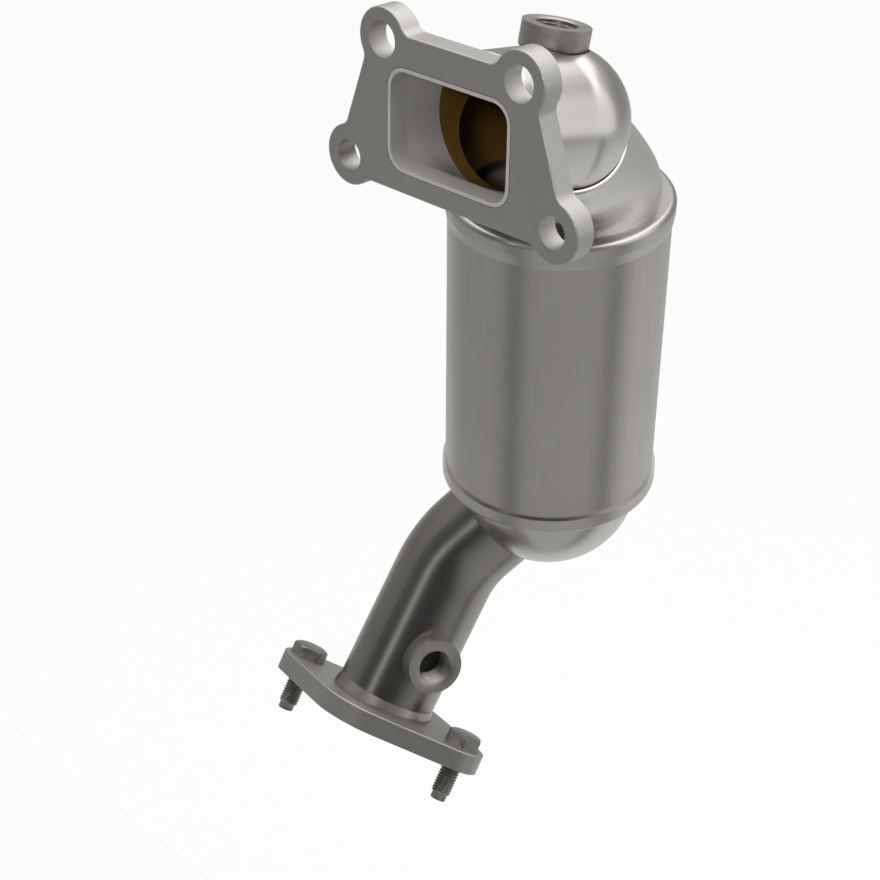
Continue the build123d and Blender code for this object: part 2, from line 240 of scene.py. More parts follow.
def port_seam(tree, place):
    """1 on the thin line between the port sleeve and the flange, and 0 elsewhere."""
    parts = add(tree, "ShaderNodeSeparateXYZ", inputs={0: place})
    over_x = add(tree, "ShaderNodeMath", {"operation": "SUBTRACT"}, {
        0: add(tree, "ShaderNodeMath", {"operation": "ABSOLUTE"}, {0: parts.outputs[0]}).outputs[0],
        1: PORT_HALF_X - PORT_CORNER}).outputs[0]
    over_z = add(tree, "ShaderNodeMath", {"operation": "SUBTRACT"}, {
        0: add(tree, "ShaderNodeMath", {"operation": "ABSOLUTE"}, {0: parts.outputs[2]}).outputs[0],
        1: PORT_HALF_Z - PORT_CORNER}).outputs[0]
    out_x = add(tree, "ShaderNodeMath", {"operation": "MAXIMUM"}, {0: over_x, 1: 0.0}).outputs[0]
    out_z = add(tree, "ShaderNodeMath", {"operation": "MAXIMUM"}, {0: over_z, 1: 0.0}).outputs[0]
    corner = add(tree, "ShaderNodeMath", {"operation": "SQRT"}, {
        0: add(tree, "ShaderNodeMath", {"operation": "ADD"}, {
            0: add(tree, "ShaderNodeMath", {"operation": "POWER"}, {0: out_x, 1: 2.0}).outputs[0],
            1: add(tree, "ShaderNodeMath", {"operation": "POWER"}, {
                0: out_z, 1: 2.0}).outputs[0]}).outputs[0]}).outputs[0]
    side = add(tree, "ShaderNodeMath", {"operation": "MINIMUM"}, {
        0: add(tree, "ShaderNodeMath", {"operation": "MAXIMUM"}, {0: over_x, 1: over_z}).outputs[0],
        1: 0.0}).outputs[0]
    off = add(tree, "ShaderNodeMath", {"operation": "ABSOLUTE"}, {
        0: add(tree, "ShaderNodeMath", {"operation": "SUBTRACT"}, {
            0: add(tree, "ShaderNodeMath", {"operation": "ADD"}, {0: corner, 1: side}).outputs[0],
            1: PORT_CORNER}).outputs[0]}).outputs[0]
    line = add(tree, "ShaderNodeMath", {"operation": "LESS_THAN"}, {0: off, 1: SEAM_HALF}).outputs[0]
    front = add(tree, "ShaderNodeMath", {"operation": "LESS_THAN"}, {
        0: parts.outputs[1], 1: SEAM_DEPTH}).outputs[0]
    return add(tree, "ShaderNodeMath", {"operation": "MULTIPLY"}, {0: line, 1: front}).outputs[0]


def cut_plate():
    """Thick steel plate, cut and blasted: matt grey with a grain like fine sand.

    The grain is drawn at 0.7 mm, coarser than real, so that it shows.
    """
    made, tree, shader, place = metal("blasted_steel_plate")
    grain = add(tree, "ShaderNodeTexNoise", inputs={
        "Vector": place, "Scale": 1 / (0.7 * MM), "Detail": 6.0}).outputs["Fac"]
    patches = add(tree, "ShaderNodeTexNoise", inputs={
        "Vector": place, "Scale": 1 / (14 * MM), "Detail": 3.0}).outputs["Fac"]
    seam = port_seam(tree, place)
    tone = add(tree, "ShaderNodeMix", {"data_type": "RGBA"}, {
        0: grain, 6: linear("#a8a6a3"), 7: linear("#c1bfbc")}).outputs[2]
    tone = add(tree, "ShaderNodeMix", {"data_type": "RGBA"}, {
        0: add(tree, "ShaderNodeMapRange", inputs={0: patches, 1: 0.0, 2: 1.0, 3: 0.0, 4: 0.35}).outputs[0],
        6: tone, 7: linear("#a7a5a2")}).outputs[2]
    tree.links.new(
        add(tree, "ShaderNodeMix", {"data_type": "RGBA"}, {
            0: seam, 6: tone, 7: linear("#2a2928")}).outputs[2],
        shader.inputs["Base Color"])
    rough = add(tree, "ShaderNodeMath", {"operation": "ADD"}, {
        0: add(tree, "ShaderNodeMapRange", inputs={0: grain, 1: 0.0, 2: 1.0, 3: 0.44, 4: 0.58}).outputs[0],
        1: add(tree, "ShaderNodeMath", {"operation": "MULTIPLY"}, {0: seam, 1: 0.3}).outputs[0]}).outputs[0]
    tree.links.new(rough, shader.inputs["Roughness"])
    tree.links.new(
        add(tree, "ShaderNodeBump", inputs={
            "Height": grain, "Distance": 0.06 * MM, "Strength": 0.6}).outputs[0],
        shader.inputs["Normal"])
    return made


def finish_node(name, material):
    """Gives a node of the frame its material."""
    for slot in nodes[name].material_slots:
        slot.material = material


plate_steel = cut_plate()
finish_node("inlet_flange", plate_steel)

# Transition and dome
# Sheet stainless, pressed smooth: the rectangular sleeve that opens to a round neck, and the
# ball-shaped elbow that turns the gas down. Inside, hot gas has tinted the ball straw brown.
mounts = {mount["name"]: mount for mount in frame["record"]["mounts"]}
WALL = 1.6 * MM
AROUND = 144
NECK = Vector((-1.5, 25.0, -2.5)) * MM
NECK_R = 28.7 * MM
NECK_END_R = 29.5 * MM
BALL = Vector((-0.3, 59.8, -8.1)) * MM
BALL_R = 30.0 * MM
PAST = 1.0 * MM
SEAT_R = 14.3 * MM
SEAT_DROP = 11.3 * MM
SPIGOT_HOLE_R = 11.4 * MM
FACE_TO_MOUNT = 7.55 * MM
BALL_CUT = 5.0 * MM
NECK_STEPS = 24
CAP_STEPS = 35
CAP_DEGREES = 2.5
INSIDE_METAL = 0.45


def sheet_metal(name, light, dark, rough, metallic):
    """Stainless sheet between two tones, satin or scaled, with soft clouds from the press.

    Its grain is drawn at 0.5 mm, coarser than real, so that it shows.
    """
    made, tree, shader, place = metal(name)
    fine = add(tree, "ShaderNodeTexNoise", inputs={
        "Vector": place, "Scale": 1 / (0.5 * MM), "Detail": 4.0}).outputs["Fac"]
    clouds = add(tree, "ShaderNodeTexNoise", inputs={
        "Vector": place, "Scale": 1 / (24 * MM), "Detail": 3.0}).outputs["Fac"]
    tree.links.new(
        add(tree, "ShaderNodeMix", {"data_type": "RGBA"}, {
            0: clouds, 6: linear(dark), 7: linear(light)}).outputs[2],
        shader.inputs["Base Color"])
    shader.inputs["Metallic"].default_value = metallic
    satin = add(tree, "ShaderNodeMath", {"operation": "ADD"}, {
        0: add(tree, "ShaderNodeMapRange", inputs={
            0: clouds, 1: 0.0, 2: 1.0, 3: rough - 0.04, 4: rough + 0.04}).outputs[0],
        1: add(tree, "ShaderNodeMapRange", inputs={
            0: fine, 1: 0.0, 2: 1.0, 3: -0.02, 4: 0.02}).outputs[0]}).outputs[0]
    tree.links.new(satin, shader.inputs["Roughness"])
    tree.links.new(
        add(tree, "ShaderNodeBump", inputs={
            "Height": fine, "Distance": 0.004 * MM, "Strength": 0.3}).outputs[0],
        shader.inputs["Normal"])
    return made


def circle(centre, normal, start, radius):
    """Points of a circle, turning about its normal from a start direction."""
    side = normal.cross(start).normalized()
    first = side.cross(normal)
    turns = [2 * math.pi * k / AROUND for k in range(AROUND)]
    return [centre + (first * math.cos(a) + side * math.sin(a)) * radius for a in turns]


def closed_form(name, rows):
    """Closed mesh through rows of points, capped at both ends, with its faces outwards."""
    mesh = bmesh.new()
    made = [[mesh.verts.new(point) for point in row] for row in rows]
    for near, far in zip(made, made[1:]):
        for k in range(AROUND):
            turn = (k + 1) % AROUND
            mesh.faces.new((near[k], near[turn], far[turn], far[k]))
    mesh.faces.new(made[0])
    mesh.faces.new(made[-1])
    bmesh.ops.recalc_face_normals(mesh, faces=mesh.faces)
    data = bpy.data.meshes.new(name)
    mesh.to_mesh(data)
    mesh.free()
    data.materials.append(None)
    data.materials.append(None)
    form = bpy.data.objects.new(name, data)
    bpy.context.scene.collection.objects.link(form)
    return form


def drum(name, centre, axis, radius, low_end, high_end):
    """Closed cylinder about an axis, between two distances along it."""
    side = axis.orthogonal()
    return closed_form(name, [circle(centre + axis * low_end, axis, side, radius),
                              circle(centre + axis * high_end, axis, side, radius)])


def cut(form, tool, side=0):
    """Takes a tool's form out of another, and deletes the tool. New faces get the material of a side."""
    tool.data.polygons.foreach_set("material_index", [side] * len(tool.data.polygons))
    change = form.modifiers.new("cut", "BOOLEAN")
    change.operation = "DIFFERENCE"
    change.solver = "EXACT"
    change.object = tool
    depsgraph = bpy.context.evaluated_depsgraph_get()
    data = bpy.data.meshes.new_from_object(form.evaluated_get(depsgraph))
    form.modifiers.clear()
    form.data = data
    bpy.data.objects.remove(tool)


def smooth(form, angle=32.0):
    """Smooth shading, with the edges sharper than an angle kept sharp."""
    form.data.shade_smooth()
    form.data.set_sharp_from_angle(angle=math.radians(angle))


def hand_over(form, slot, materials, *replaced):
    """Gives a piece its materials and its body, and hides the nodes that it stands for. Its slot is not
    used.
    """
    while len(form.data.materials) < len(materials):
        form.data.materials.append(None)
    for k, material in enumerate(materials):
        form.data.materials[k] = material
    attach(form, "root")
    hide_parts(*replaced)


def bung_place(name):
    """Middle of a sensor bung's top face, and the direction out of it."""
    mount = mounts[name]
    axis = Vector(mount["axis"]).normalized()
    return Vector(mount["pos_m"]) + axis * FACE_TO_MOUNT, axis


def ball_form(name, inset, past):
    """Neck and ball in one form, from the joint with the sleeve, with the bung's flat seat."""
    run = BALL - NECK
    axis = run.normalized()
    across = Vector((1, 0, 0))
    first = circle(NECK, Vector((0, 1, 0)), across, NECK_R)
    last = circle(BALL, axis, across, BALL_R)
    rows = [[point - Vector((0, past, 0)) for point in first]] if past else []
    for k in range(NECK_STEPS + 1):
        t = k / NECK_STEPS
        left = run.length * (1 - t)
        neck_r = NECK_R + (NECK_END_R - NECK_R) * t
        reach = max(neck_r, math.sqrt(max(BALL_R**2 - left**2, 0.0))) - inset
        middle = NECK.lerp(BALL, t)
        rows.append([middle + (a.lerp(b, t) - middle).normalized() * reach for a, b in zip(first, last)])
    for k in range(1, CAP_STEPS + 1):
        lean = math.radians(CAP_DEGREES * k)
        rows.append(circle(BALL + axis * (BALL_R - inset) * math.sin(lean), axis, across,
                           (BALL_R - inset) * math.cos(lean)))
    form = closed_form(name, rows)
    face, up = bung_place("upper_sensor_port")
    cut(form, drum("seat", face, up, SEAT_R + inset, -SEAT_DROP - inset, BALL_R))
    return form


# Satin stainless, bright; inside, a duller scale from straw to brown
satin_sheet = sheet_metal("pressed_stainless_sheet", "#cac8c5", "#bfbcb9", 0.26, 1.0)
straw_scale = sheet_metal("heat_tinted_stainless", "#b98f45", "#6b4f22", 0.36, 0.55)

# The sleeve is satin outside. Its inside is scaled too, so it is less of a mirror there.
sleeve_sheet = sheet_metal("sleeve_stainless_sheet", "#d4d2ce", "#c9c6c2", 0.36, 1.0)
tree = sleeve_sheet.node_tree
shader = next(node for node in tree.nodes if node.type == "BSDF_PRINCIPLED")
spot = add(tree, "ShaderNodeTexCoord").outputs["Object"]
off_axis = add(tree, "ShaderNodeVectorMath", {"operation": "MULTIPLY"}, {0: spot, 1: (1, 0, 1)})
facing = add(tree, "ShaderNodeVectorMath", {"operation": "DOT_PRODUCT"},
             {0: add(tree, "ShaderNodeNewGeometry").outputs["Normal"], 1: off_axis.outputs[0]})
outer = add(tree, "ShaderNodeMath", {"operation": "GREATER_THAN"}, {
    0: facing.outputs["Value"], 1: 0.0}).outputs[0]
tree.links.new(
    add(tree, "ShaderNodeMapRange", inputs={0: outer, 1: 0.0, 2: 1.0, 3: INSIDE_METAL, 4: 1.0}).outputs[0],
    shader.inputs["Metallic"])
finish_node("inlet_transition", sleeve_sheet)

# Inlet cone
# Pressed shell that carries the ball in its collar and swells out to the canister's full width.
# Made here as one smooth form with a rolled lip; its wall is cut to the ball, and the ball to it.
CANISTER_AXIS = Vector((0.0703, -0.0894, 0.9935)).normalized()
FLOW = Vector((-0.69, 0.23, -0.69)).normalized()
COLLAR_BACK = 1.5 * MM
COLLAR_R = 32.0 * MM
COLLAR_L = 7.0 * MM
LIP_ROUND = 1.1 * MM
LIP_STEPS = 5
CONE_R = 45.3 * MM
SEAM_R = 46.5 * MM
CONE_LAP = 3.0 * MM
CONE_RUN = Vector((-57.3, 72.6, -66.1)) * MM
BALL_GAP = 0.3 * MM
LEAVE = (0.62, 0.42)
ARRIVE = 0.62
CONE_STEPS = 36
collar_start = BALL - FLOW * COLLAR_BACK
canister_top = collar_start + CONE_RUN
crossing = CANISTER_AXIS.cross(FLOW).normalized()


def cone_form(name, inset, collar):
    """Collar and swelling shell, from stations of the collar to the lap in the canister."""
    rows = [circle(collar_start + FLOW * along, FLOW, crossing, COLLAR_R - inset - drop)
            for along, drop in collar]
    start = collar_start + FLOW * COLLAR_L
    first = circle(start, FLOW, crossing, COLLAR_R - inset)
    last = circle(canister_top, -CANISTER_AXIS, crossing, CONE_R - inset)
    for k in range(CONE_STEPS + 1):
        t = k / CONE_STEPS
        row = []
        for a, b in zip(first, last):
            chord = (b - a).length
            leave = (FLOW * LEAVE[0] + (a - start).normalized() * LEAVE[1]) * chord
            arrive = -CANISTER_AXIS * chord * ARRIVE
            row.append(a * (2 * t**3 - 3 * t**2 + 1) + leave * (t**3 - 2 * t**2 + t)
                       + b * (3 * t**2 - 2 * t**3) + arrive * (t**3 - t**2))
        rows.append(row)
    lap = CONE_LAP + (PAST if inset else 0.0)
    plug = CONE_R - inset if inset else SEAM_R
    if not inset:
        rows.append(circle(canister_top, -CANISTER_AXIS, crossing, plug))
    rows.append(circle(canister_top - CANISTER_AXIS * lap, -CANISTER_AXIS, crossing, plug))
    return closed_form(name, rows)


quarter = [math.radians(90 / LIP_STEPS * k) for k in range(LIP_STEPS + 1)]
rolled_lip = [(LIP_ROUND * (1 - math.cos(a)), LIP_ROUND * (1 - math.sin(a))) for a in quarter]
cone_shell = cone_form("inlet_cone_shell", 0.0, rolled_lip)
cut(cone_shell, cone_form("cone_inside", WALL, [(-PAST, 0.0)]), 1)
cut(cone_shell, ball_form("ball_room", -BALL_GAP, PAST))
smooth(cone_shell)
hand_over(cone_shell, "stainless_sheet", [satin_sheet, straw_scale], "inlet_cone")

dome_shell = ball_form("inlet_dome_shell", 0.0, 0.0)
cut(dome_shell, ball_form("ball_inside", WALL, PAST), 1)
cut(dome_shell, cone_form("way_out", WALL, [(COLLAR_BACK + BALL_CUT, 0.0)]))
bung_face, bung_axis = bung_place("upper_sensor_port")
cut(dome_shell, drum("spigot_hole", bung_face, bung_axis, SPIGOT_HOLE_R, -BALL_R, 0.0))
smooth(dome_shell)
hand_over(dome_shell, "stainless_sheet", [satin_sheet, straw_scale], "inlet_dome")

# Canister and its end rings
# Tube rolled from stainless sheet and closed by a lengthwise weld, which is not drawn. The
# rings are spun from the same sheet. Rolling leaves faint lengthwise streaks in the satin.
STREAK_SCALE = (1, 1, 0.03)
upright = Vector((0, 0, 1)).rotation_difference(CANISTER_AXIS).to_euler()


def rolled_sheet(name, light, dark):
    """Rolled stainless sheet: satin, with faint lengthwise streaks.

    Streaks are drawn 1.2 mm wide and grain at 0.5 mm, coarser than real, so that they show.
    """
    made, tree, shader, place = metal(name)
    stood = add(tree, "ShaderNodeVectorRotate", {"rotation_type": "EULER_XYZ", "invert": True}, {
        "Vector": place, "Rotation": upright}).outputs[0]
    drawn = add(tree, "ShaderNodeVectorMath", {"operation": "MULTIPLY"}, {0: stood, 1: STREAK_SCALE})
    streaks = add(tree, "ShaderNodeTexNoise", inputs={
        "Vector": drawn.outputs[0], "Scale": 1 / (1.2 * MM), "Detail": 4.0}).outputs["Fac"]
    clouds = add(tree, "ShaderNodeTexNoise", inputs={
        "Vector": place, "Scale": 1 / (35 * MM), "Detail": 3.0}).outputs["Fac"]
    fine = add(tree, "ShaderNodeTexNoise", inputs={
        "Vector": place, "Scale": 1 / (0.5 * MM), "Detail": 4.0}).outputs["Fac"]
    tone = add(tree, "ShaderNodeMix", {"data_type": "RGBA"}, {
        0: clouds, 6: linear(dark), 7: linear(light)}).outputs[2]
    tree.links.new(
        add(tree, "ShaderNodeMix", {"data_type": "RGBA"}, {
            0: add(tree, "ShaderNodeMapRange", inputs={
                0: streaks, 1: 0.0, 2: 1.0, 3: 0.0, 4: 0.18}).outputs[0],
            6: tone, 7: linear("#8f8c88")}).outputs[2],
        shader.inputs["Base Color"])
    rough = add(tree, "ShaderNodeMath", {"operation": "ADD"}, {
        0: add(tree, "ShaderNodeMapRange", inputs={
            0: streaks, 1: 0.0, 2: 1.0, 3: 0.27, 4: 0.36}).outputs[0],
        1: add(tree, "ShaderNodeMapRange", inputs={
            0: fine, 1: 0.0, 2: 1.0, 3: -0.02, 4: 0.02}).outputs[0]}).outputs[0]
    tree.links.new(rough, shader.inputs["Roughness"])
    tree.links.new(
        add(tree, "ShaderNodeBump", inputs={
            "Height": fine, "Distance": 0.01 * MM, "Strength": 0.3}).outputs[0],
        shader.inputs["Normal"])
    return made


# The spun rings are a touch paler than the tube
shell_steel = rolled_sheet("rolled_stainless_tube", "#bab7b4", "#aeaba8")
ring_steel = rolled_sheet("spun_stainless_ring", "#c0bebb", "#b4b2af")
finish_node("canister_shell", shell_steel)
finish_node("upper_end_ring", ring_steel)
finish_node("lower_end_ring", ring_steel)

# Catalyst bricks, mats and edge seals
# Extruded ceramic with about one square cell in each 1.3 mm, washcoated the colour of sand,
# wrapped in a swelling fibre mat that a knitted wire seal holds at each end.
CELL = 1.3 * MM
END_FACING = 0.7
WIRE_SHARE = 0.16


def honeycomb():
    """Washcoated ceramic: on the ends, pale cell walls round cells painted dark as the shade of the deep
    channels; a plain skin round it.
    """
    made, tree, shader, place = metal("washcoated_cordierite")
    shader.inputs["Metallic"].default_value = 0.0
    stood = add(tree, "ShaderNodeVectorRotate", {"rotation_type": "EULER_XYZ", "invert": True}, {
        "Vector": place, "Rotation": upright}).outputs[0]
    # The two dark cell colours are painted shade that stands for the deep channels; the walls are the
    # washcoat's own colour.
    walls_and_shaded_cells = add(tree, "ShaderNodeTexBrick", {"offset": 0.0, "squash": 1.0}, {
        "Vector": stood, "Scale": 1.0, "Brick Width": CELL, "Row Height": CELL,
        "Mortar Size": 0.14 * CELL, "Mortar Smooth": 0.1,
        "Color1": linear("#1d1915"), "Color2": linear("#241f1a"), "Mortar": linear("#cbbfa8")})
    normal = add(tree, "ShaderNodeNewGeometry").outputs["Normal"]
    level = add(tree, "ShaderNodeVectorMath", {"operation": "DOT_PRODUCT"},
                {0: normal, 1: CANISTER_AXIS})
    end = add(tree, "ShaderNodeMath", {"operation": "GREATER_THAN"}, {
        0: add(tree, "ShaderNodeMath", {"operation": "ABSOLUTE"}, {0: level.outputs["Value"]}).outputs[0],
        1: END_FACING}).outputs[0]
    skin = add(tree, "ShaderNodeMix", {"data_type": "RGBA"}, {
        0: add(tree, "ShaderNodeTexNoise", inputs={
            "Vector": place, "Scale": 1 / (5 * MM), "Detail": 3.0}).outputs["Fac"],
        6: linear("#bfb299"), 7: linear("#cfc3ad")}).outputs[2]
    tree.links.new(
        add(tree, "ShaderNodeMix", {"data_type": "RGBA"}, {
            0: end, 6: skin, 7: walls_and_shaded_cells.outputs["Color"]}).outputs[2],
        shader.inputs["Base Color"])
    shader.inputs["Roughness"].default_value = 0.85
    depth = add(tree, "ShaderNodeMath", {"operation": "MULTIPLY"}, {
        0: walls_and_shaded_cells.outputs["Fac"], 1: end}).outputs[0]
    tree.links.new(
        add(tree, "ShaderNodeBump", inputs={
            "Height": depth, "Distance": 0.6 * MM, "Strength": 1.0}).outputs[0],
        shader.inputs["Normal"])
    return made


def fibre_mat():
    """Swelling mat: off-white ceramic fibre with tan flecks, quite matt.

    Fibres are drawn 0.8 mm wide, coarser than real, so that they show.
    """
    made, tree, shader, place = metal("ceramic_fibre_mat")
    shader.inputs["Metallic"].default_value = 0.0
    fibre = add(tree, "ShaderNodeTexNoise", inputs={
        "Vector": place, "Scale": 1 / (0.8 * MM), "Detail": 8.0}).outputs["Fac"]
    flecks = add(tree, "ShaderNodeTexNoise", inputs={
        "Vector": place, "Scale": 1 / (3 * MM), "Detail": 2.0}).outputs["Fac"]
    tone = add(tree, "ShaderNodeMix", {"data_type": "RGBA"}, {
        0: fibre, 6: linear("#bdb6a4"), 7: linear("#e2ddd0")}).outputs[2]
    tree.links.new(
        add(tree, "ShaderNodeMix", {"data_type": "RGBA"}, {
            0: add(tree, "ShaderNodeMapRange", inputs={
                0: flecks, 1: 0.0, 2: 1.0, 3: 0.0, 4: 0.4}).outputs[0],
            6: tone, 7: linear("#a48d68")}).outputs[2],
        shader.inputs["Base Color"])
    shader.inputs["Roughness"].default_value = 0.95
    tree.links.new(
        add(tree, "ShaderNodeBump", inputs={
            "Height": fibre, "Distance": 0.25 * MM, "Strength": 1.0}).outputs[0],
        shader.inputs["Normal"])
    return made


def knitted_wire():
    """Knitted wire seal: bright loops a millimetre apart over gaps painted dark as the shade among the
    loops.
    """
    made, tree, shader, place = metal("knitted_wire_seal")
    stood = add(tree, "ShaderNodeVectorRotate", {"rotation_type": "EULER_XYZ", "invert": True}, {
        "Vector": place, "Rotation": upright}).outputs[0]
    loops = add(tree, "ShaderNodeTexVoronoi", {"feature": "DISTANCE_TO_EDGE"},
                {"Vector": stood, "Scale": 1 / (1.1 * MM), "Randomness": 0.35}).outputs["Distance"]
    wire = add(tree, "ShaderNodeMath", {"operation": "LESS_THAN"}, {0: loops, 1: WIRE_SHARE}).outputs[0]
    # The dark gap colour is painted shade between the loops of the knit.
    tree.links.new(
        add(tree, "ShaderNodeMix", {"data_type": "RGBA"}, {
            0: wire, 6: linear("#2b2a28"), 7: linear("#a5a29c")}).outputs[2],
        shader.inputs["Base Color"])
    shader.inputs["Roughness"].default_value = 0.4
    tree.links.new(
        add(tree, "ShaderNodeBump", inputs={
            "Height": wire, "Distance": 0.15 * MM, "Strength": 1.0}).outputs[0],
        shader.inputs["Normal"])
    return made


brick_ceramic = honeycomb()
mat_fibre = fibre_mat()
seal_wire = knitted_wire()
for end in ("front", "rear"):
    finish_node(end + "_substrate", brick_ceramic)
    finish_node(end + "_mat", mat_fibre)
    finish_node(end + "_mat_seal_upper", seal_wire)
    finish_node(end + "_mat_seal_lower", seal_wire)

# Outlet bowl and pipe
# The bowl is pressed like the cone. The pipe is a bent tube welded round the bowl's hole, with
# its foot flared into the outlet flange, a plate of the same cut and blasted steel as the inlet's.
finish_node("outlet_bowl", satin_sheet)


def bent_tube():
    """Welded stainless tube, mandrel bent: satin, a shade darker than the pressed sheet.

    Its grain is drawn at 0.5 mm, coarser than real, so that it shows.
    """
    made, tree, shader, place = metal("bent_stainless_tube")
    fine = add(tree, "ShaderNodeTexNoise", inputs={
        "Vector": place, "Scale": 1 / (0.5 * MM), "Detail": 4.0}).outputs["Fac"]
    clouds = add(tree, "ShaderNodeTexNoise", inputs={
        "Vector": place, "Scale": 1 / (25 * MM), "Detail": 3.0}).outputs["Fac"]
    tree.links.new(
        add(tree, "ShaderNodeMix", {"data_type": "RGBA"}, {
            0: clouds, 6: linear("#8f8c88"), 7: linear("#9d9a96")}).outputs[2],
        shader.inputs["Base Color"])
    rough = add(tree, "ShaderNodeMath", {"operation": "ADD"}, {
        0: add(tree, "ShaderNodeMapRange", inputs={0: clouds, 1: 0.0, 2: 1.0, 3: 0.26, 4: 0.34}).outputs[0],
        1: add(tree, "ShaderNodeMapRange", inputs={
            0: fine, 1: 0.0, 2: 1.0, 3: -0.03, 4: 0.03}).outputs[0]}).outputs[0]
    tree.links.new(rough, shader.inputs["Roughness"])
    tree.links.new(
        add(tree, "ShaderNodeBump", inputs={
            "Height": fine, "Distance": 0.01 * MM, "Strength": 0.35}).outputs[0],
        shader.inputs["Normal"])
    return made


finish_node("outlet_pipe", bent_tube())
finish_node("outlet_flange", plate_steel)

# Sensor bungs
# Two turned steel bosses, welded on, each with an M18 x 1.5 thread for an oxygen sensor. Boss,
# foot and spigot follow the frame, and the thread is cut here into a slightly widened bore.
PITCH = 1.5 * MM
BUNG_ROOT_R = 9.0 * MM
BUNG_DEPTH = -0.8 * MM
BUNG_BORE_R = 8.2 * MM
BUNG_THREAD = (-0.4 * MM, -14.7 * MM)
THREAD_GRID = (65, 97)
TOOTH_RISE = (0.12, 0.88)
RUN_OUT = 0.6


def turned_steel(name, light, dark):
    """Turned steel: grey, with a dull fine grain.

    Its grain is drawn at 0.4 mm, coarser than real tool marks, so that it shows.
    """
    made, tree, shader, place = metal(name)
    fine = add(tree, "ShaderNodeTexNoise", inputs={
        "Vector": place, "Scale": 1 / (0.4 * MM), "Detail": 4.0}).outputs["Fac"]
    clouds = add(tree, "ShaderNodeTexNoise", inputs={
        "Vector": place, "Scale": 1 / (8 * MM), "Detail": 3.0}).outputs["Fac"]
    tree.links.new(
        add(tree, "ShaderNodeMix", {"data_type": "RGBA"}, {
            0: clouds, 6: linear(dark), 7: linear(light)}).outputs[2],
        shader.inputs["Base Color"])
    tree.links.new(
        add(tree, "ShaderNodeMapRange", inputs={0: fine, 1: 0.0, 2: 1.0, 3: 0.36, 4: 0.48}).outputs[0],
        shader.inputs["Roughness"])
    tree.links.new(
        add(tree, "ShaderNodeBump", inputs={
            "Height": fine, "Distance": 0.01 * MM, "Strength": 0.4}).outputs[0],
        shader.inputs["Normal"])
    return made


